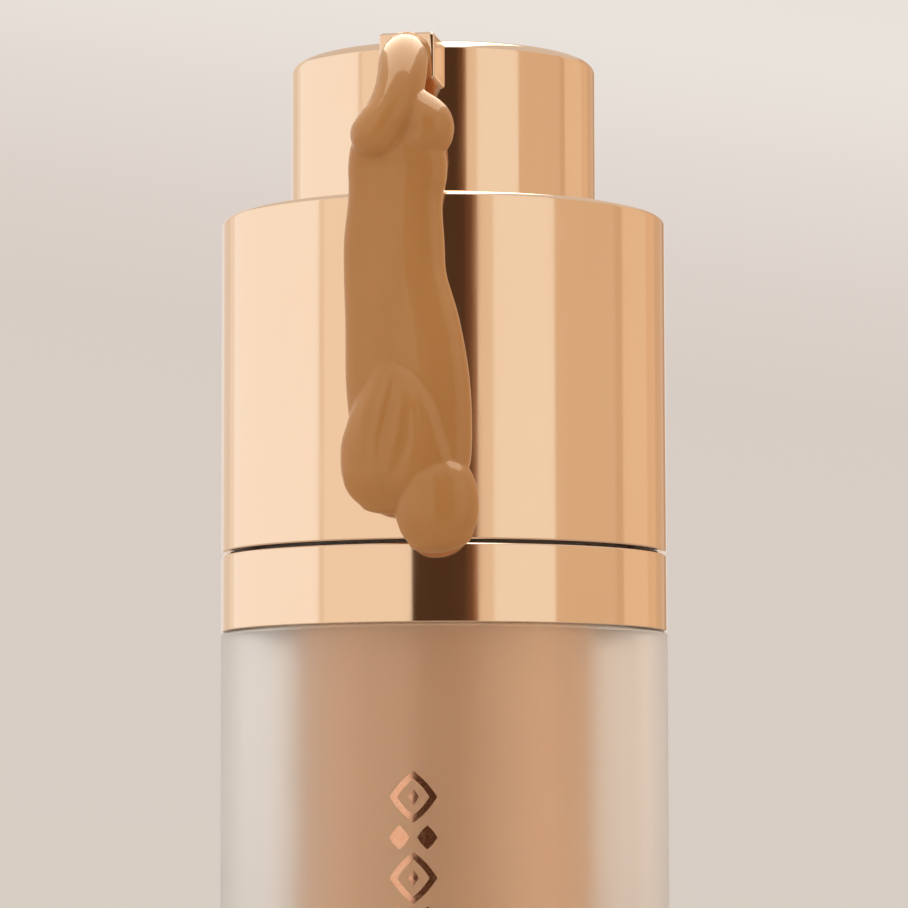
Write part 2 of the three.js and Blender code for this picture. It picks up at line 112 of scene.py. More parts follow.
def make_camera():
    data = bpy.data.cameras.new("photo_camera")
    data.sensor_width = SENSOR
    data.lens = LENS
    data.clip_start = 0.01
    camera = bpy.data.objects.new("photo_camera", data)
    bpy.context.scene.collection.objects.link(camera)
    camera.location = direction(0) * VIEW_DISTANCE + Vector((0, 0, SHOULDER - VIEW_DROP))
    level = Euler((math.pi / 2 + VIEW_PITCH, 0, VIEW_AZIMUTH - VIEW_YAW)).to_matrix()
    camera.rotation_euler = (level @ Matrix.Rotation(-VIEW_ROLL, 3, "Z")).to_euler()
    bpy.context.scene.camera = camera


# ---- Materials ---------------------------------------------------------------------------------

def new_material(name, **sockets):
    """A Principled material, with constants set on the shader's own sockets."""
    material = bpy.data.materials.new(name)
    material.use_nodes = True
    shader = material.node_tree.nodes["Principled BSDF"]
    for socket, value in sockets.items():
        shader.inputs[socket.replace("_", " ")].default_value = value
    return material, shader


def add(material, kind):
    return material.node_tree.nodes.new(kind)


def noise_field(material, scale, detail=4, stretch=(1, 1, 1)):
    """Noise in object space. Scale is in features per metre."""
    tree = material.node_tree
    place = add(material, "ShaderNodeTexCoord")
    mapping = add(material, "ShaderNodeMapping")
    mapping.inputs["Scale"].default_value = stretch
    field = add(material, "ShaderNodeTexNoise")
    field.inputs["Scale"].default_value = scale
    field.inputs["Detail"].default_value = detail
    tree.links.new(place.outputs["Object"], mapping.inputs["Vector"])
    tree.links.new(mapping.outputs["Vector"], field.inputs["Vector"])
    return field.outputs["Fac"]


def ramp(material, factor, stops):
    """Maps a factor to colours given as (position, (r, g, b))."""
    node = add(material, "ShaderNodeValToRGB")
    elements = node.color_ramp.elements
    while len(elements) < len(stops):
        elements.new(0.5)
    for element, (position, colour) in zip(elements, stops):
        element.position = position
        element.color = (*colour, 1)
    material.node_tree.links.new(factor, node.inputs["Fac"])
    return node.outputs["Color"]


def remap(material, factor, low_value, high_value):
    """Spreads noise, which lies mostly from 0.3 to 0.7, over a range of values."""
    node = add(material, "ShaderNodeMapRange")
    node.inputs["From Min"].default_value = 0.3
    node.inputs["From Max"].default_value = 0.7
    node.inputs["To Min"].default_value = low_value
    node.inputs["To Max"].default_value = high_value
    material.node_tree.links.new(factor, node.inputs["Value"])
    return node.outputs["Result"]


def bump(material, shader, height, strength, distance):
    node = add(material, "ShaderNodeBump")
    node.inputs["Strength"].default_value = strength
    node.inputs["Distance"].default_value = distance
    material.node_tree.links.new(height, node.inputs["Height"])
    material.node_tree.links.new(node.outputs["Normal"], shader.inputs["Normal"])


def rose_gold():
    material, shader = new_material("rose_gold", Metallic=1.0)
    links = material.node_tree.links
    cloud = noise_field(material, 60, 3)
    tone = ramp(material, cloud, [(0.3, (0.945, 0.712, 0.522)), (0.7, (0.955, 0.728, 0.538))])
    links.new(tone, shader.inputs["Base Color"])
    polish = noise_field(material, 900, 6, stretch=(1, 1, 0.12))
    links.new(remap(material, polish, 0.07, 0.12), shader.inputs["Roughness"])
    bump(material, shader, polish, 0.015, 0.02 * MM)
    return material


def frosted_acrylic():
    material, shader = new_material(
        "frosted_acrylic", Transmission_Weight=1.0, IOR=1.46, Sheen_Weight=1.0, Sheen_Roughness=0.6
    )
    links = material.node_tree.links
    cloud = noise_field(material, 90, 3)
    tone = ramp(material, cloud, [(0.3, (0.985, 0.952, 0.918)), (0.7, (0.995, 0.962, 0.93))])
    links.new(tone, shader.inputs["Base Color"])
    etch = noise_field(material, 9000, 3)
    links.new(remap(material, etch, 0.29, 0.33), shader.inputs["Roughness"])
    bump(material, shader, etch, 0.008, 0.008 * MM)
    return material


def clear_inside():
    """The bottle's bore isn't frosted."""
    material, shader = new_material("bottle_bore", Transmission_Weight=1.0, IOR=1.46)
    links = material.node_tree.links
    etch = noise_field(material, 700, 2)
    tone = ramp(material, etch, [(0.3, (0.98, 0.975, 0.965)), (0.7, (0.99, 0.985, 0.975))])
    links.new(tone, shader.inputs["Base Color"])
    links.new(remap(material, etch, 0.05, 0.1), shader.inputs["Roughness"])
    return material


def cup_plastic():
    material, shader = new_material("cup_plastic", Transmission_Weight=0.9, IOR=1.15)
    links = material.node_tree.links
    cloud = noise_field(material, 120, 3)
    tone = ramp(material, cloud, [(0.3, (0.97, 0.94, 0.9)), (0.7, (0.98, 0.96, 0.93))])
    links.new(tone, shader.inputs["Base Color"])
    links.new(remap(material, cloud, 0.12, 0.2), shader.inputs["Roughness"])
    return material


def foundation(name, dark, light, roughness):
    material, shader = new_material(
        name, Subsurface_Weight=0.15, Subsurface_Scale=0.0015, IOR=1.4, Specular_IOR_Level=0.2,
        Coat_Weight=0.6, Coat_Roughness=0.08
    )
    shader.inputs["Subsurface Radius"].default_value = (1.0, 0.45, 0.2)
    links = material.node_tree.links
    swirl = noise_field(material, 260, 5, stretch=(1, 1, 0.25))
    links.new(ramp(material, swirl, [(0.35, dark), (0.65, light)]), shader.inputs["Base Color"])
    links.new(remap(material, swirl, *roughness), shader.inputs["Roughness"])
    grain = noise_field(material, 2600, 4)
    bump(material, shader, grain, 0.04, 0.03 * MM)
    return material


def moulded(name, dark, light, roughness):
    """Plain moulded plastic, with a faint flow pattern and a fine surface."""
    material, shader = new_material(name, IOR=1.49)
    links = material.node_tree.links
    flow = noise_field(material, 150, 4)
    links.new(ramp(material, flow, [(0.3, dark), (0.7, light)]), shader.inputs["Base Color"])
    links.new(remap(material, flow, *roughness), shader.inputs["Roughness"])
    bump(material, shader, noise_field(material, 4000, 3), 0.05, 0.02 * MM)
    return material


def steel():
    material, shader = new_material("steel", Metallic=1.0)
    links = material.node_tree.links
    draw = noise_field(material, 2500, 4)
    tone = ramp(material, draw, [(0.3, (0.55, 0.56, 0.58)), (0.7, (0.68, 0.69, 0.7))])
    links.new(tone, shader.inputs["Base Color"])
    links.new(remap(material, draw, 0.18, 0.32), shader.inputs["Roughness"])
    return material


def foil():
    """Hot-stamped foil: a mirror broken up by the etched surface under it."""
    material, shader = new_material("rose_foil", Metallic=1.0)
    links = material.node_tree.links
    speck = noise_field(material, 3800, 5)
    tone = ramp(material, speck, [(0.3, (0.86, 0.46, 0.3)), (0.7, (0.93, 0.56, 0.4))])
    links.new(tone, shader.inputs["Base Color"])
    links.new(remap(material, speck, 0.08, 0.16), shader.inputs["Roughness"])
    bump(material, shader, speck, 0.08, 0.02 * MM)
    return material


def floor_paint():
    material, shader = new_material("floor_paint")
    links = material.node_tree.links
    cloud = noise_field(material, 3, 3)
    tone = ramp(material, cloud, [(0.3, (0.70, 0.65, 0.61)), (0.7, (0.72, 0.67, 0.63))])
    links.new(tone, shader.inputs["Base Color"])
    shader.inputs["Roughness"].default_value = 0.7
    return material


MATERIALS = {
    "rose_gold": rose_gold(),
    "frosted_acrylic": frosted_acrylic(),
    "bottle_bore": clear_inside(),
    "cup_plastic": cup_plastic(),
    "dollop": foundation("dollop", (0.65, 0.31, 0.10), (0.69, 0.34, 0.115), (0.4, 0.5)),
    # The foundation in the cup is the same stuff as the dollop but has a paler base colour: painted light,
    # standing in for light that reaches it through the frosted wall.
    "foundation": foundation("foundation", (0.86, 0.475, 0.228), (0.9, 0.505, 0.243), (0.4, 0.55)),
    "white_plastic": moulded("white_plastic", (0.80, 0.79, 0.76), (0.84, 0.83, 0.8), (0.32, 0.42)),
    "natural_plastic": moulded("natural_plastic", (0.70, 0.67, 0.62), (0.76, 0.73, 0.68), (0.3, 0.4)),
    "steel": steel(),
    "rubber": moulded("rubber", (0.2, 0.195, 0.19), (0.25, 0.245, 0.24), (0.6, 0.75)),
    "foil": foil(),
    "floor_paint": floor_paint(),
}


# ---- Mesh helpers ------------------------------------------------------------------------------

def make_object(name, vertices, faces, material):
    mesh = bpy.data.meshes.new(name)
    mesh.from_pydata([tuple(v) for v in vertices], [], faces)
    mesh.validate()
    mesh.materials.append(MATERIALS[material])
    mesh.polygons.foreach_set("use_smooth", [True] * len(mesh.polygons))
    thing = bpy.data.objects.new(name, mesh)
    bpy.context.scene.collection.objects.link(thing)
    return thing


def even_shading(thing, angle=40):
    """Smooth shading that large flat faces keep flat."""
    thing.data.set_sharp_from_angle(angle=math.radians(angle))
    modifier = thing.modifiers.new("weighted_normals", "WEIGHTED_NORMAL")
    modifier.keep_sharp = True
    return thing


def filleted(corners, closed, steps):
    """Rounds a profile's corners. Each corner is (radius, height) or (radius, height, fillet)."""
    count = len(corners)
    points = []
    for i, corner in enumerate(corners):
        here = Vector(corner[:2])
        fillet = corner[2] if len(corner) > 2 else 0
        if not fillet or (not closed and i in (0, count - 1)):
            points.append(here)
            continue
        back = (Vector(corners[i - 1][:2]) - here).normalized()
        ahead = (Vector(corners[(i + 1) % count][:2]) - here).normalized()
        half = back.angle(ahead) / 2
        reach = fillet / math.tan(half)
        centre = here + (back + ahead).normalized() * (fillet / math.sin(half))
        start, end = here + back * reach - centre, here + ahead * reach - centre
        turn = start.angle_signed(end)
        for k in range(steps + 1):
            a = -turn * k / steps
            points.append(centre + Vector((start.x * math.cos(a) - start.y * math.sin(a),
                                           start.x * math.sin(a) + start.y * math.cos(a))))
    return points


def turned(name, corners, material, steps=5):
    """A turned piece: a profile that starts and ends on the axis, or closes on itself."""
    closed = corners[0][0] > 0
    profile = filleted(corners, closed, steps)
    vertices, rings = [], []
    for radius, height in profile:
        if radius < 1e-7:
            rings.append([len(vertices)] * ROUND)
            vertices.append((0, 0, height))
            continue
        rings.append(list(range(len(vertices), len(vertices) + ROUND)))
        for k in range(ROUND):
            a = 2 * math.pi * k / ROUND
            vertices.append((radius * math.cos(a), radius * math.sin(a), height))
    if closed:
        rings.append(rings[0])
    faces = []
    for lower, upper in zip(rings, rings[1:]):
        for k in range(ROUND):
            n = (k + 1) % ROUND
            quad = [lower[k], lower[n], upper[n], upper[k]]
            faces.append(list(dict.fromkeys(quad)))
    return even_shading(make_object(name, vertices, faces, material))


def finish_piece(thing, body, slot, *nodes):
    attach(thing, body)
    if nodes:
        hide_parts(*nodes)
    return thing


# ---- Bottle ------------------------------------------------------------------------------------

def outer_bottle():
    shoulder = SHOULDER - 0.1 * MM
    top = high("outer_bottle").z
    bore = BODY_RADIUS - BOTTLE_WALL
    bottle = turned("frosted_bottle", [
        (0, 0.15 * MM),
        (BODY_RADIUS * 0.55, 0.15 * MM),
        (BODY_RADIUS * 0.58, 0),
        (BODY_RADIUS, 0, 0.8 * MM),
        (BODY_RADIUS, shoulder, 0.25 * MM),
        (NECK_RADIUS, shoulder, 0.15 * MM),
        (NECK_RADIUS, top, 0.2 * MM),
        (bore, top, 0.2 * MM),
        (bore, BOTTLE_FLOOR, 2.0 * MM),
        (0, BOTTLE_FLOOR),
    ], "frosted_acrylic")
    bottle.data.materials.append(MATERIALS["bottle_bore"])
    for face in bottle.data.polygons:
        centre, normal = face.center, face.normal
        inward = normal.x * centre.x + normal.y * centre.y < 0
        inside = math.hypot(centre.x, centre.y) < bore + 0.05 * MM and centre.z > BOTTLE_FLOOR - 0.05 * MM
        face.material_index = 1 if inside and (inward or normal.z > 0.5) else 0
    return finish_piece(bottle, "bottle", "frosted_acrylic", "outer_bottle")


def lower_ring():
    bottom, top = low("lower_ring").z, high("lower_ring").z
    bore = NECK_RADIUS + 0.25 * MM
    lip = high("guide_sleeve").x - 1.1 * MM
    ring = turned("lower_band", [
        (bore, bottom, 0.1 * MM),
        (BODY_RADIUS, bottom, 0.12 * MM),
        (BODY_RADIUS, top, 0.2 * MM),
        (lip, top, 0.1 * MM),
        (lip, top - 0.95 * MM),
        (bore, top - 0.95 * MM),
    ], "rose_gold")
    return finish_piece(ring, "bottle", "rose_gold", "lower_ring")


def twist_collar():
    bottom, top = low("twist_collar").z, high("twist_collar").z
    bore = COLLAR_RADIUS - COLLAR_WALL
    collar = turned("collar_sleeve", [
        (bore, bottom),
        (COLLAR_RADIUS, bottom, 0.15 * MM),
        (COLLAR_RADIUS, top, 0.4 * MM),
        (bore, top, 0.2 * MM),
    ], "rose_gold", steps=8)
    return finish_piece(collar, "collar", "rose_gold", "twist_collar")


def button_cap():
    bottom = low("button_cap").z
    bore = CAP_RADIUS - CAP_WALL
    ceiling = CAP_TOP - CAP_DISH - 0.9 * MM
    flat = CAP_RADIUS - 2.2 * MM
    cap = turned("button_sleeve", [
        (0, ceiling),
        (bore, ceiling, 0.3 * MM),
        (bore, bottom),
        (CAP_RADIUS, bottom, 0.2 * MM),
        (CAP_RADIUS, CAP_TOP, 0.8 * MM),
        (flat, CAP_TOP, 1.0 * MM),
        (flat * 0.8, CAP_TOP - CAP_DISH * 0.55, 3 * MM),
        (flat * 0.45, CAP_TOP - CAP_DISH * 0.92, 6 * MM),
        (0, CAP_TOP - CAP_DISH),
    ], "rose_gold", steps=8)
    return finish_piece(cap, "button", "rose_gold", "button_cap")


def rounded_rectangle(half_width, half_height, radius, count):
    """Points round a rounded rectangle, in step with the same count of points round a circle."""
    points = []
    for k in range(count):
        a = 2 * math.pi * (k + 0.5) / count
        c, s = math.cos(a), math.sin(a)
        inner = Vector((max(half_width - radius, 0), max(half_height - radius, 0)))
        reach = min(half_width / max(abs(c), 1e-9), half_height / max(abs(s), 1e-9))
        point = Vector((c * reach, s * reach))
        corner = Vector((math.copysign(min(abs(point.x), inner.x), c),
                         math.copysign(min(abs(point.y), inner.y), s)))
        offset = point - corner
        if offset.length > 1e-9 and abs(point.x) > inner.x and abs(point.y) > inner.y:
            point = corner + offset.normalized() * radius
        points.append(point)
    return points


def spout():
    """The nozzle block: a rounded bar with a round mouth, its back fitted to the cap's side."""
    count = 160
    half_w = (NOZZLE_HIGH.x - NOZZLE_LOW.x) / 2
    half_h = (NOZZLE_HIGH.z - NOZZLE_LOW.z) / 2
    front = -NOZZLE_LOW.y
    corner = 0.3 * MM
    bevel = 0.2 * MM

    def bar(inset):
        return rounded_rectangle(half_w - inset, half_h - inset, corner - inset * 0.5, count)

    def circle(radius):
        return [Vector((math.cos(a), math.sin(a))) * radius
                for a in (2 * math.pi * (k + 0.5) / count for k in range(count))]

    loops = [(bar(0), None)]  # the back, on the cap's side
    for k in range(6):
        a = math.pi / 2 * k / 5
        loops.append((bar(bevel * (1 - math.cos(a))), front - bevel * (1 - math.sin(a))))
    lip = 0.12 * MM
    for share in (0.35, 0.7):
        loops.append(([b.lerp(c, share) for b, c in zip(bar(bevel), circle(MOUTH_RADIUS + lip))], front))
    for k in range(5):
        a = math.pi / 2 * k / 4
        loops.append((circle(MOUTH_RADIUS + lip * (1 - math.sin(a))), front - lip * (1 - math.cos(a))))
    depth = front - MOUTH_DEPTH
    for radius, place in ((MOUTH_RADIUS, depth + 0.3 * MM), (MOUTH_RADIUS - 0.3 * MM, depth),
                          (SPOUT_CHANNEL, depth), (SPOUT_CHANNEL, CAP_RADIUS + 0.2 * MM)):
        loops.append((circle(radius), place))
    vertices, faces = [], []
    for points, place in loops:
        for p in points:
            y = math.sqrt(CAP_RADIUS ** 2 - p.x ** 2) - 0.1 * MM if place is None else place
            vertices.append((p.x, -y, NOZZLE_AXIS + p.y))
    for i in range(len(loops) - 1):
        for k in range(count):
            n = (k + 1) % count
            faces.append([i * count + k, i * count + n, (i + 1) * count + n, (i + 1) * count + k])
    faces.append(list(range(count))[::-1])
    last = (len(loops) - 1) * count
    faces.append(list(range(last, last + count)))
    nozzle = even_shading(make_object("spout", vertices, faces, "rose_gold"), 50)
    return finish_piece(nozzle, "button", "rose_gold", "nozzle")


# ---- Cup and what it holds ----------------------------------------------------------------------

def inner_cup():
    bottom, top = low("inner_cup").z, high("inner_cup").z
    shoulder = top - CUP_NECK_HEIGHT
    bore = CUP_RADIUS - CUP_WALL
    neck = -low("cup_gasket").x + 0.1 * MM
    neck_bore = neck - 1.25 * MM
    cup = turned("product_cup", [
        (bore, bottom, 0.2 * MM),
        (CUP_RADIUS, bottom, 0.3 * MM),
        (CUP_RADIUS, shoulder, 0.4 * MM),
        (neck, shoulder, 0.1 * MM),
        (neck, top, 0.2 * MM),
        (neck_bore, top, 0.2 * MM),
        (neck_bore, shoulder, 0.4 * MM),
        (bore, shoulder - 1.4 * MM, 0.5 * MM),
    ], "cup_plastic")
    finish_piece(cup, "lift", "cup_plastic", "inner_cup")


def cup_plug():
    bottom, top = low("cup_plug").z, high("cup_plug").z
    rim = high("cup_plug").x
    vent = 1.0 * MM
    well = rim - 1.0 * MM
    floor = bottom + 0.7 * MM
    plug = turned("foot_plug", [
        (vent, bottom, 0.1 * MM),
        (rim, bottom, 0.2 * MM),
        (rim, top, 0.2 * MM),
        (well, top, 0.2 * MM),
        (well, floor, 0.2 * MM),
        (vent, floor, 0.1 * MM),
    ], "natural_plastic")
    finish_piece(plug, "lift", "natural_plastic", "cup_plug")


def follower():
    bottom, top = low("follower_piston").z, high("follower_piston").z
    lip = high("follower_piston").x
    wall = 1.1 * MM
    body = lip - 0.4 * MM
    well = high("pump_housing").x - 5.8 * MM
    floor = top - WELL_DEPTH
    crown = top - 1.2 * MM
    under_crown = top - wall - 1.2 * MM
    piston = turned("climbing_piston", [
        (0, floor - wall),
        (well + wall, floor - wall, 0.5 * MM),
        (well + wall, under_crown, 0.4 * MM),
        (body - wall, under_crown, 0.4 * MM),
        (body - wall, bottom),
        (lip, bottom, 0.05 * MM),
        (body, bottom + 1.4 * MM, 0.5 * MM),
        (body, top - 1.4 * MM, 0.5 * MM),
        (lip, top, 0.05 * MM),
        (body - wall, crown, 0.3 * MM),
        (well, crown, 0.3 * MM),
        (well, floor, 0.5 * MM),
        (0, floor),
    ], "natural_plastic")
    finish_piece(piston, "follower", "natural_plastic", "follower_piston")


def cup_contents():
    """The foundation in the cup, as a column, a core and a neck."""
    piston_top = high("follower_piston").z
    side = CUP_RADIUS - CUP_WALL - 0.02 * MM
    neck = high("foundation_fill").x - 1.45 * MM
    shoulder = high("inner_cup").z - CUP_NECK_HEIGHT
    column_top = shoulder - 1.6 * MM
    pump = 6.2 * MM
    column_bore = pump + 0.3 * MM
    column_bottom = piston_top + FILL_GAP
    column = turned("contents_column", [
        (column_bore, column_bottom, 0.1 * MM),
        (side, column_bottom, 0.4 * MM),
        (side, column_top),
        (column_bore, column_top),
    ], "foundation")
    core_bottom = piston_top - WELL_DEPTH + FILL_GAP
    core_top = low("pump_housing").z - 0.1 * MM
    core = turned("contents_core", [
        (0, core_bottom),
        (pump, core_bottom, 0.4 * MM),
        (pump, core_top, 0.1 * MM),
        (0, core_top),
    ], "foundation")
    collar = turned("contents_neck", [
        (pump, column_top),
        (side, column_top),
        (neck, shoulder - 0.2 * MM, 0.3 * MM),
        (neck, high("foundation_fill").z, 0.1 * MM),
        (pump, high("foundation_fill").z, 0.1 * MM),
    ], "foundation")
    finish_piece(column, "lift", "foundation", "foundation_fill")
    finish_piece(core, "lift", "foundation")
    finish_piece(collar, "lift", "foundation")
    for piece, bottom, top in ((column, column_bottom, column_top), (core, core_bottom, core_top)):
        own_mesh(piece)
    return [column, core, collar]


def pump_spring():
    """The return spring."""
    bottom, top = low("pump_spring").z, high("pump_spring").z
    wire = 0.35 * MM
    radius = high("pump_spring").x - wire
    turns, steps, around = 6.5, 48, 16
    count = int(turns * steps)
    ground = 0.75  # turns at each end that lie nearly flat
    closed_pitch = 2.04 * wire
    open_rise = top - bottom - 2 * wire - 2 * closed_pitch * ground
    vertices, faces = [], []
    for i in range(count + 1):
        turn = i / steps
        share = min(max((turn - ground) / (turns - 2 * ground), 0), 1)
        flat = min(turn, ground) + max(turn - turns + ground, 0)
        height = bottom + wire + closed_pitch * flat + open_rise * share
        a = 2 * math.pi * turn
        out = Vector((math.cos(a), math.sin(a), 0))
        for k in range(around):
            b = 2 * math.pi * k / around
            vertices.append(out * (radius + wire * math.cos(b)) + Vector((0, 0, height + wire * math.sin(b))))
    for i in range(count):
        for k in range(around):
            n = (k + 1) % around
            faces.append([i * around + k, (i + 1) * around + k, (i + 1) * around + n, i * around + n])
    faces.append(list(range(around)))
    faces.append([count * around + k for k in range(around)][::-1])
    spring = make_object("return_spring", vertices, faces, "steel")
    finish_piece(spring, "lift", "steel", "pump_spring")
    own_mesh(spring)


# ---- The dollop --------------------------------------------------------------------------------

# Each tongue has the lengths of its two rounded ends, the power of its section, and a route of
# [sideways, out from the body, height against the spout's axis, half the width, half the depth].
# Lengths are in millimetres.
TONGUES = {
    "strand": (0.2, 1.85, 2, [
        [0.0, -3.3, 0.0, 1.5, 1.5],
        [0.0, -1.3, 0.05, 1.65, 1.6],
        [0.0, -0.3, -0.25, 1.9, 1.8],
        [0.05, 0.8, -1.1, 1.97, 1.9],
        [0.08, 1.7, -2.4, 1.95, 1.95],
        [-0.1, 2.3, -3.8, 1.95, 1.95],
        [-0.6, 2.7, -5.2, 1.95, 1.95],
        [-1.3, 2.9, -6.3, 1.97, 1.95],
        [-1.85, 3.0, -7.1, 1.95, 1.9],
    ]),
    "mouth_fill": (0.12, 0.12, 2, [
        [0.0, -1.25, 0.02, 1.95, 1.9],
        [0.0, -1.1, 0.02, 1.97, 1.92],
        [0.0, -0.95, 0.02, 1.95, 1.9],
    ]),
    "fold": (0.8, 1.6, 2, [
        [0.3, 2.0, -4.0, 1.3, 1.3],
        [1.2, 2.0, -4.9, 1.75, 1.6],
        [1.95, 2.0, -5.9, 2.15, 1.8],
        [2.1, 2.0, -6.7, 2.2, 1.8],
        [1.6, 2.0, -7.5, 2.1, 1.7],
    ]),
    "ribbon": (1.0, 1.3, 2.8, [
        [0.0, 1.9, -6.4, 3.1, 1.5],
        [-0.2, 2.0, -8.2, 3.75, 1.6],
        [-0.2, 1.9, -9.8, 3.95, 1.5],
        [-0.4, 1.8, -12.1, 3.75, 1.4],
        [-0.5, 1.8, -15.3, 4.0, 1.35],
        [-0.4, 1.8, -18.5, 4.1, 1.35],
        [0.2, 1.9, -22.5, 4.6, 1.4],
        [0.6, 2.0, -26.5, 4.9, 1.5],
        [0.9, 2.0, -30.4, 4.8, 1.5],
        [1.0, 2.0, -33.5, 4.5, 1.45],
        [1.2, 1.9, -35.1, 3.7, 1.35],
    ]),
    "flap": (0.5, 0.75, 2.3, [
        [-0.5, 2.3, -24.3, 0.8, 0.9],
        [-0.5, 2.4, -25.7, 2.0, 1.2],
        [-0.25, 2.5, -27.2, 3.0, 1.45],
        [-0.15, 2.6, -28.7, 3.6, 1.6],
        [-0.15, 2.6, -30.1, 4.05, 1.6],
        [-0.15, 2.5, -31.6, 4.5, 1.65],
        [0.0, 2.4, -33.2, 4.65, 1.65],
        [0.0, 2.3, -34.4, 4.45, 1.65],
        [0.0, 2.15, -35.4, 3.95, 1.5],
        [0.0, 2.0, -36.2, 3.1, 1.3],
    ]),
    "drop": (0.9, 1.2, 2, [
        [2.2, 2.15, -32.8, 2.3, 1.35],
        [2.45, 2.3, -33.9, 3.0, 1.65],
        [2.75, 2.35, -35.2, 3.35, 1.85],
        [2.95, 2.35, -36.5, 3.35, 1.95],
        [3.1, 2.3, -37.8, 3.1, 1.9],
        [3.25, 2.2, -38.8, 2.6, 1.7],
    ]),
}

# Pleats on the flap: lines of [sideways, height against the spout's axis], each with its half width
# and its height, in millimetres.
PLEATS = [
    (0.42, 0.09, [[-0.9, -24.6], [-1.8, -27.0], [-2.7, -29.6], [-2.9, -32.2]]),
    (0.36, 0.08, [[-0.3, -25.4], [-1.0, -28.0], [-1.7, -31.0], [-2.0, -34.2]]),
    (0.45, 0.1, [[0.3, -26.0], [0.5, -28.4], [0.1, -31.0], [-0.8, -33.6]]),
    (0.38, 0.08, [[0.9, -26.6], [1.5, -29.0], [1.6, -31.4], [1.0, -33.4]]),
    (0.32, 0.07, [[1.7, -27.2], [2.8, -30.0], [3.6, -32.6], [4.6, -34.6]]),
]

PLEAT_HEIGHTS = (-36, -24)
VOXEL = 0.13 * MM


def spline(rows, t):
    """A Catmull-Rom point through rows, at t from 0 to 1."""
    last = len(rows) - 1
    place = min(max(t, 0), 1) * last
    i = min(int(place), last - 1)
    u = place - i
    a, b, c, d = (rows[min(max(i + k, 0), last)] for k in (-1, 0, 1, 2))
    return [q + 0.5 * u * (r - p + u * (2 * p - 5 * q + 4 * r - s + u * (3 * q - p - 3 * r + s)))
            for p, q, r, s in zip(a, b, c, d)]


def tongue(start_cap, end_cap, power, rows, vertices, faces, around=48, along=90, cap_steps=10):
    """Adds a closed sweep with rounded ends. Power 2 gives an elliptical section, more a flatter one."""
    def station(t):
        side, out, height, half_width, half_depth = spline(rows, t)
        centre = Vector((side * MM, -BODY_RADIUS - out * MM, NOZZLE_AXIS + height * MM))
        return centre, half_width * MM, half_depth * MM

    def heading(t):
        return (station(min(t + 0.01, 1))[0] - station(max(t - 0.01, 0))[0]).normalized()

    rings = []
    for k in range(cap_steps, 0, -1):
        a = math.pi / 2 * k / cap_steps
        rings.append((0, -start_cap * MM * math.sin(a), math.cos(a)))
    rings += [(k / along, 0, 1) for k in range(along + 1)]
    for k in range(1, cap_steps + 1):
        a = math.pi / 2 * k / cap_steps
        rings.append((1, end_cap * MM * math.sin(a), math.cos(a)))
    base = len(vertices)
    for t, advance, share in rings:
        centre, half_width, half_depth = station(t)
        forward = heading(t)
        across = (Vector((1, 0, 0)) - forward * forward.x).normalized()
        outward = across.cross(forward)
        share = max(share, 0.02)
        for k in range(around):
            a = 2 * math.pi * k / around
            c, s = (math.copysign(abs(f) ** (2 / power), f) for f in (math.cos(a), math.sin(a)))
            vertices.append(centre + forward * advance + across * (half_width * share * c)
                            + outward * (half_depth * share * s))
    for i in range(len(rings) - 1):
        for k in range(around):
            n = (k + 1) % around
            at = base + i * around
            faces.append([at + k, at + n, at + around + n, at + around + k])
    faces.append([base + k for k in range(around)][::-1])
    faces.append([base + (len(rings) - 1) * around + k for k in range(around)])


def away_from(point, line):
    """The distance from a flat point to a line of points, and how far along the line it is, 0 to 1."""
    best = (1e9, 0)
    for i, (a, b) in enumerate(zip(line, line[1:])):
        a, b = Vector(a), Vector(b)
        t = min(max((point - a).dot(b - a) / (b - a).length_squared, 0), 1)
        gap = (point - a.lerp(b, t)).length
        if gap < best[0]:
            best = (gap, (i + t) / (len(line) - 1))
    return best


def pleat(mesh):
    """Raises soft pleats on the front of the flap."""
    for vertex, normal in zip(mesh.vertices, [v.normal.copy() for v in mesh.vertices]):
        point = Vector((vertex.co.x / MM, (vertex.co.z - NOZZLE_AXIS) / MM))
        if normal.y > -0.3 or not PLEAT_HEIGHTS[0] < point.y < PLEAT_HEIGHTS[1]:
            continue
        lift = 0
        for half_width, height, line in PLEATS:
            gap, along = away_from(point, line)
            if gap < 3 * half_width:
                fade = math.sin(math.pi * (0.12 + 0.76 * along))
                lift += height * math.exp(-((gap / half_width) ** 2)) * fade
        vertex.co += normal * (lift * MM)


def dollop():
    vertices, faces = [], []
    for start_cap, end_cap, power, rows in TONGUES.values():
        tongue(start_cap, end_cap, power, rows, vertices, faces)
    rough = make_object("dollop_rough", vertices, faces, "dollop")
    remesh = rough.modifiers.new("fuse", "REMESH")
    remesh.mode = "VOXEL"
    remesh.voxel_size = VOXEL
    smooth = rough.modifiers.new("soften", "SMOOTH")
    smooth.factor = 0.5
    smooth.iterations = 4
    graph = bpy.context.evaluated_depsgraph_get()
    mesh = bpy.data.meshes.new_from_object(rough.evaluated_get(graph))
    mesh.name = "dollop"
    bpy.data.objects.remove(rough)
    mesh.materials.clear()
    mesh.materials.append(MATERIALS["dollop"])
    mesh.polygons.foreach_set("use_smooth", [True] * len(mesh.polygons))
    pleat(mesh)
    cream = bpy.data.objects.new("dollop", mesh)
    bpy.context.scene.collection.objects.link(cream)
    finish_piece(cream, "button", "foundation", "dispensed_foundation")
    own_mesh(cream)
    return cream


# ---- Foil motif: a column of lozenges and leaves, with no lettering --------------------------------

MOTIF_AZIMUTH = math.radians(2)
MOTIF_TOP = 11.6 * MM  # below the lower ring
MOTIF_PITCH = 6.3 * MM
MOTIF_ROWS = 8
FOIL_LIFT = 0.03 * MM
FOIL_THICKNESS = 0.02 * MM


def wrapped(u, v, radius):
    """A point of the flat motif laid on the bottle: u round it, v up it."""
    a = MOTIF_AZIMUTH + u / BODY_RADIUS
    return (radius * math.sin(a), -radius * math.cos(a), v)


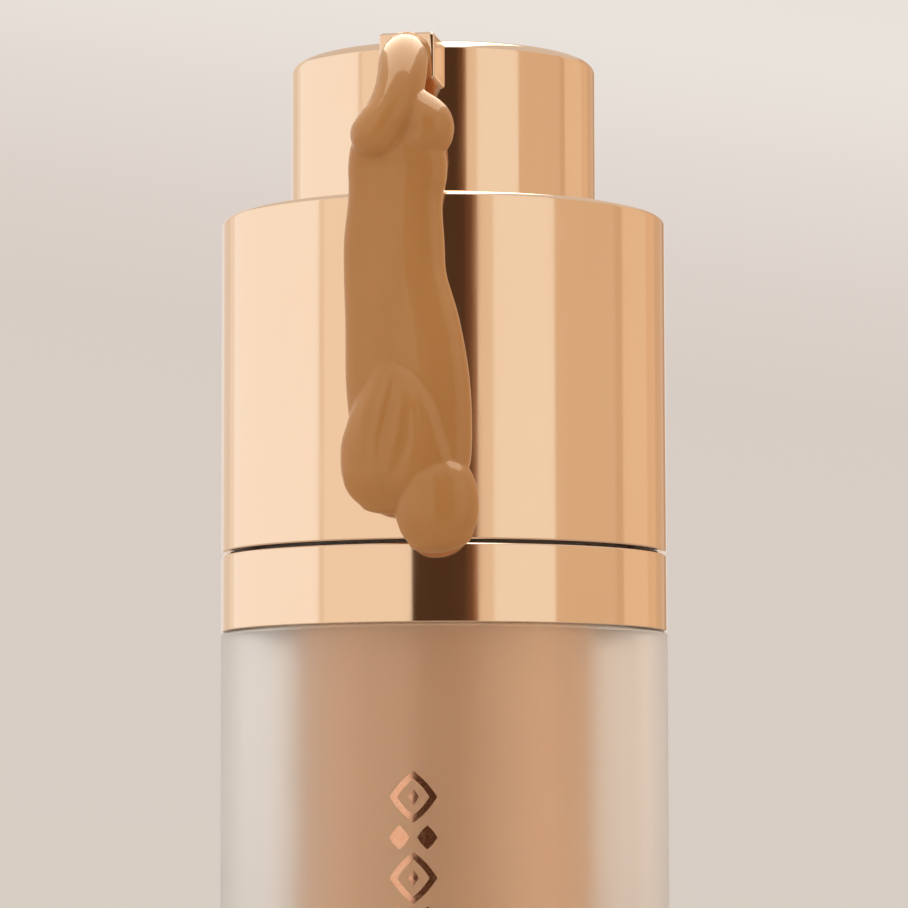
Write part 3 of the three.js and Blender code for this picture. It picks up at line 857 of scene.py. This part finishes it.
def foil_plate(name, outline_pairs):
    """A thin plate on the bottle's side, between matched inner and outer outlines of (u, v)."""
    inner_radius = BODY_RADIUS + FOIL_LIFT - FOIL_THICKNESS
    outer_radius = BODY_RADIUS + FOIL_LIFT
    count = len(outline_pairs)
    vertices = []
    for inner, outer in outline_pairs:
        for u, v in (inner, outer):
            vertices.append(wrapped(u, v, inner_radius))
            vertices.append(wrapped(u, v, outer_radius))
    faces = []
    for k in range(count):
        a, b = 4 * k, 4 * ((k + 1) % count)
        faces += [[a + 1, a + 3, b + 3, b + 1], [a, b, b + 2, a + 2],
                  [a + 2, b + 2, b + 3, a + 3], [a, a + 1, b + 1, b]]
    plate = make_object(name, vertices, faces, "foil")
    plate.data.set_sharp_from_angle(angle=math.radians(40))
    return plate


def lozenge(half_width, half_height, bulge=0.22, count=80):
    """The outline of a lozenge whose sides bow outwards."""
    points = []
    for k in range(count):
        a = 2 * math.pi * (k + 0.5) / count
        c, s = math.cos(a), math.sin(a)
        reach = 1 / (abs(c) + abs(s))
        reach += bulge * (1 - reach)
        points.append(Vector((half_width * c * reach, half_height * s * reach)))
    return points


def foil_lozenge(name, place, outer, inner):
    """A lozenge of foil between two outlines, each given by its half width and half height."""
    place = Vector(place)
    return foil_plate(name, [(place + i, place + o) for i, o in zip(lozenge(*inner), lozenge(*outer))])


def foil_motif():
    top = SHOULDER - MOTIF_TOP
    wide, tall, stroke = 1.9 * MM, 2.05 * MM, 0.62 * MM
    seed = (0.42 * MM, 0.62 * MM)
    point = (0.004 * MM, 0.004 * MM)
    leaf = (0.8 * MM, 0.95 * MM)
    for n in range(MOTIF_ROWS):
        height = top - tall - n * MOTIF_PITCH
        plates = [
            foil_lozenge(f"foil_frame_{n + 1}", (0, height), (wide, tall), (wide - stroke, tall - stroke)),
            foil_lozenge(f"foil_seed_{n + 1}", (0, height), seed, point),
        ]
        for side, name in ((-1, "left"), (1, "right")):
            place = (side * (wide - leaf[0]), height - MOTIF_PITCH / 2)
            plates.append(foil_lozenge(f"foil_leaf_{n + 1}_{name}", place, leaf, point))
        for plate in plates:
            finish_piece(plate, "bottle", "rose_gold")


# ---- CAD nodes that show as they are -----------------------------------------------------------

def dress_cad_nodes():
    slots = {s["node"]: s["material_slot"] for s in frame["record"]["subparts"]}
    for name, node in frame["nodes"].items():
        if node.hide_render:
            continue
        node.data.materials.clear()
        node.data.materials.append(MATERIALS[slots[name]])
        weld = node.modifiers.new("weld", "WELD")
        weld.merge_threshold = 1e-6
        split = node.modifiers.new("split", "EDGE_SPLIT")
        split.split_angle = math.radians(32)


# ---- Studio: pale floor and a tent of soft panels --------------------------------------------------

# The backdrop's light from the floor line upwards, against the height of the line of sight.
BACKDROP = [
    (0.0, (0.684, 0.614, 0.550)),
    (0.25, (0.687, 0.614, 0.561)),
    (0.31, (0.682, 0.610, 0.558)),
    (0.37, (0.713, 0.641, 0.591)),
    (0.44, (0.773, 0.703, 0.658)),
    (0.50, (0.825, 0.771, 0.722)),
    (1.0, (0.700, 0.640, 0.590)),
]
BACKDROP_LOW = -0.02
BACKDROP_HIGH = 0.42
BACKDROP_TILT = 0.15  # brighter to the right

# (from, to) in degrees round the bottle from the camera's side, and the light each panel gives.
PANELS = [
    (-180, -158, (0.85, 0.80, 0.765)),
    (-158, -144, (0.78, 0.67, 0.57)),
    (-144, -137, (0.88, 0.79, 0.68)),
    (-137, -66, (0.995, 0.965, 0.935)),
    (-66, -63, (0.82, 0.68, 0.55)),
    (-63, -16, (0.91, 0.80, 0.68)),
    (-16, 11, (0.073, 0.036, 0.018)),
    (11, 14.5, (0.13, 0.055, 0.025)),
    (14.5, 17, (0.28, 0.13, 0.065)),
    (17, 25, (0.81, 0.645, 0.49)),
    (25, 58, (0.91, 0.825, 0.72)),
    (58, 98, (0.715, 0.525, 0.36)),
    (98, 104, (0.655, 0.46, 0.30)),
    (104, 128, (0.81, 0.61, 0.43)),
    (128, 140, (0.77, 0.53, 0.34)),
    (140, 152, (0.66, 0.45, 0.29)),
    (152, 157, (0.69, 0.51, 0.38)),
    (157, 165, (0.52, 0.33, 0.20)),
    (165, 180, (0.86, 0.80, 0.75)),
]
TENT_RADIUS = 0.85
TENT_HEIGHT = 0.55
FLOOR_RADIUS = 2.2
BOX_DISTANCE = 0.6  # of the side lights from the bottle's axis
BOX_HEIGHT = 0.5
CONTENTS_RADIANCE = 2.6  # stands in for light that the frosted wall scatters onto the foundation
LEFT_EDGE_RADIANCE = 0.42  # the edge lights reach only the frosted wall
RIGHT_EDGE_RADIANCE = 0.72
EDGE_AZIMUTH = 145


def glow(name, colour):
    material = bpy.data.materials.new(name)
    material.use_nodes = True
    tree = material.node_tree
    tree.nodes.clear()
    emission = tree.nodes.new("ShaderNodeEmission")
    emission.inputs["Color"].default_value = (*colour, 1)
    output = tree.nodes.new("ShaderNodeOutputMaterial")
    tree.links.new(emission.outputs["Emission"], output.inputs["Surface"])
    return material


def studio_piece(name, vertices, faces, material, seen=False):
    mesh = bpy.data.meshes.new(name)
    mesh.from_pydata([tuple(v) for v in vertices], [], faces)
    mesh.materials.append(material)
    thing = bpy.data.objects.new(name, mesh)
    bpy.context.scene.collection.objects.link(thing)
    thing.visible_camera = seen
    return thing


def linked(light, receivers, blockers=None):
    """Keeps a light to some pieces, and its shadows to others."""
    lit = bpy.data.collections.new(light.name)
    for thing in receivers:
        lit.objects.link(thing)
    light.light_linking.receiver_collection = lit
    if blockers:
        shading = bpy.data.collections.new(light.name + "_shading")
        for thing in blockers:
            shading.objects.link(thing)
        light.light_linking.blocker_collection = shading


def side_light(name, azimuth, width, radiance, receivers, blockers=None):
    """An upright soft box level with the shoulder, at an angle round the bottle from the camera's side."""
    data = bpy.data.lights.new(name, "AREA")
    data.shape = "RECTANGLE"
    data.size, data.size_y = width, BOX_HEIGHT
    data.energy = radiance * math.pi * data.size * data.size_y
    data.color = (1.0, 0.97, 0.93)
    light = bpy.data.objects.new(name, data)
    bpy.context.scene.collection.objects.link(light)
    outward = direction(math.radians(azimuth))
    light.location = outward * BOX_DISTANCE + Vector((0, 0, SHOULDER))
    light.rotation_euler = (-outward).to_track_quat("-Z", "Y").to_euler()
    light.visible_camera = False
    linked(light, receivers, blockers)


def tent_panel(number, start, end, colour):
    steps = max(1, math.ceil((end - start) / 6))
    vertices = []
    for k in range(steps + 1):
        where = direction(math.radians(start + (end - start) * k / steps)) * TENT_RADIUS
        vertices += [where, where + Vector((0, 0, TENT_HEIGHT))]
    faces = [[2 * k, 2 * k + 1, 2 * k + 3, 2 * k + 2] for k in range(steps)]
    studio_piece(f"panel_{number}", vertices, faces, glow(f"panel_light_{number}", colour))


def overhead_box(name, left, right, front, back, height, radiance, colour, receivers, diffuse=True):
    """A level soft box over the bottle, between sideways and depth limits as the camera sees them."""
    data = bpy.data.lights.new(name, "AREA")
    data.shape = "RECTANGLE"
    data.size, data.size_y = right - left, back - front
    data.energy = radiance * math.pi * data.size * data.size_y
    data.color = colour
    light = bpy.data.objects.new(name, data)
    bpy.context.scene.collection.objects.link(light)
    across = direction(math.pi / 2)
    light.location = across * ((left + right) / 2) - direction(0) * ((front + back) / 2)
    light.location.z = CAP_TOP + height
    light.rotation_euler = (0, 0, VIEW_AZIMUTH)
    light.visible_camera = False
    light.visible_diffuse = diffuse
    linked(light, receivers)


def backdrop_world():
    world = bpy.data.worlds.new("studio")
    bpy.context.scene.world = world
    world.use_nodes = True
    tree = world.node_tree
    sight = tree.nodes.new("ShaderNodeTexCoord")
    rise = tree.nodes.new("ShaderNodeVectorMath")
    rise.operation = "DOT_PRODUCT"
    rise.inputs[1].default_value = direction(math.pi / 2) * BACKDROP_TILT + Vector((0, 0, 1))
    scale = tree.nodes.new("ShaderNodeMapRange")
    scale.inputs["From Min"].default_value = BACKDROP_LOW
    scale.inputs["From Max"].default_value = BACKDROP_HIGH
    colours = tree.nodes.new("ShaderNodeValToRGB")
    elements = colours.color_ramp.elements
    while len(elements) < len(BACKDROP):
        elements.new(0.5)
    for element, (position, colour) in zip(elements, BACKDROP):
        element.position = position
        element.color = (*colour, 1)
    tree.links.new(sight.outputs["Generated"], rise.inputs[0])
    tree.links.new(rise.outputs["Value"], scale.inputs["Value"])
    tree.links.new(scale.outputs["Result"], colours.inputs["Fac"])
    tree.links.new(colours.outputs["Color"], tree.nodes["Background"].inputs["Color"])


def make_studio(metal, cream, contents, bottle):
    sides = 96
    angles = [2 * math.pi * k / sides for k in range(sides)]
    rim = [(FLOOR_RADIUS * math.cos(a), FLOOR_RADIUS * math.sin(a), 0) for a in angles]
    floor = studio_piece("floor", rim, [list(range(sides))], MATERIALS["floor_paint"], seen=True)
    floor.location.z = -0.05 * MM
    for number, (start, end, colour) in enumerate(PANELS):
        tent_panel(number, start, end, colour)
    overhead_box("rim_light", left=0.0, right=0.2, front=-0.7, back=0.3, height=0.5,
                 radiance=2.8, colour=(1.0, 0.975, 0.94), receivers=metal)
    overhead_box("cream_gloss", left=-0.45, right=0.45, front=-0.36, back=0.9, height=0.5,
                 radiance=4.6, colour=(1.0, 0.9, 0.72), receivers=cream, diffuse=False)
    for azimuth in (0, 90, 180, 270):
        side_light(f"contents_light_{azimuth}", azimuth, 0.5, CONTENTS_RADIANCE, contents, contents)
    side_light("edge_light_left", -EDGE_AZIMUTH, 0.3, LEFT_EDGE_RADIANCE, [bottle])
    side_light("edge_light_right", EDGE_AZIMUTH, 0.3, RIGHT_EDGE_RADIANCE, [bottle])
    backdrop_world()
    bpy.context.scene.view_settings.view_transform = "Standard"


make_camera()
bottle_piece = outer_bottle()
metal_pieces = [lower_ring(), twist_collar(), button_cap(), spout()]
inner_cup()
cup_plug()
follower()
contents_pieces = cup_contents()
pump_spring()
cream_piece = dollop()
foil_motif()
dress_cad_nodes()
make_studio(metal_pieces, [cream_piece], contents_pieces, bottle_piece)
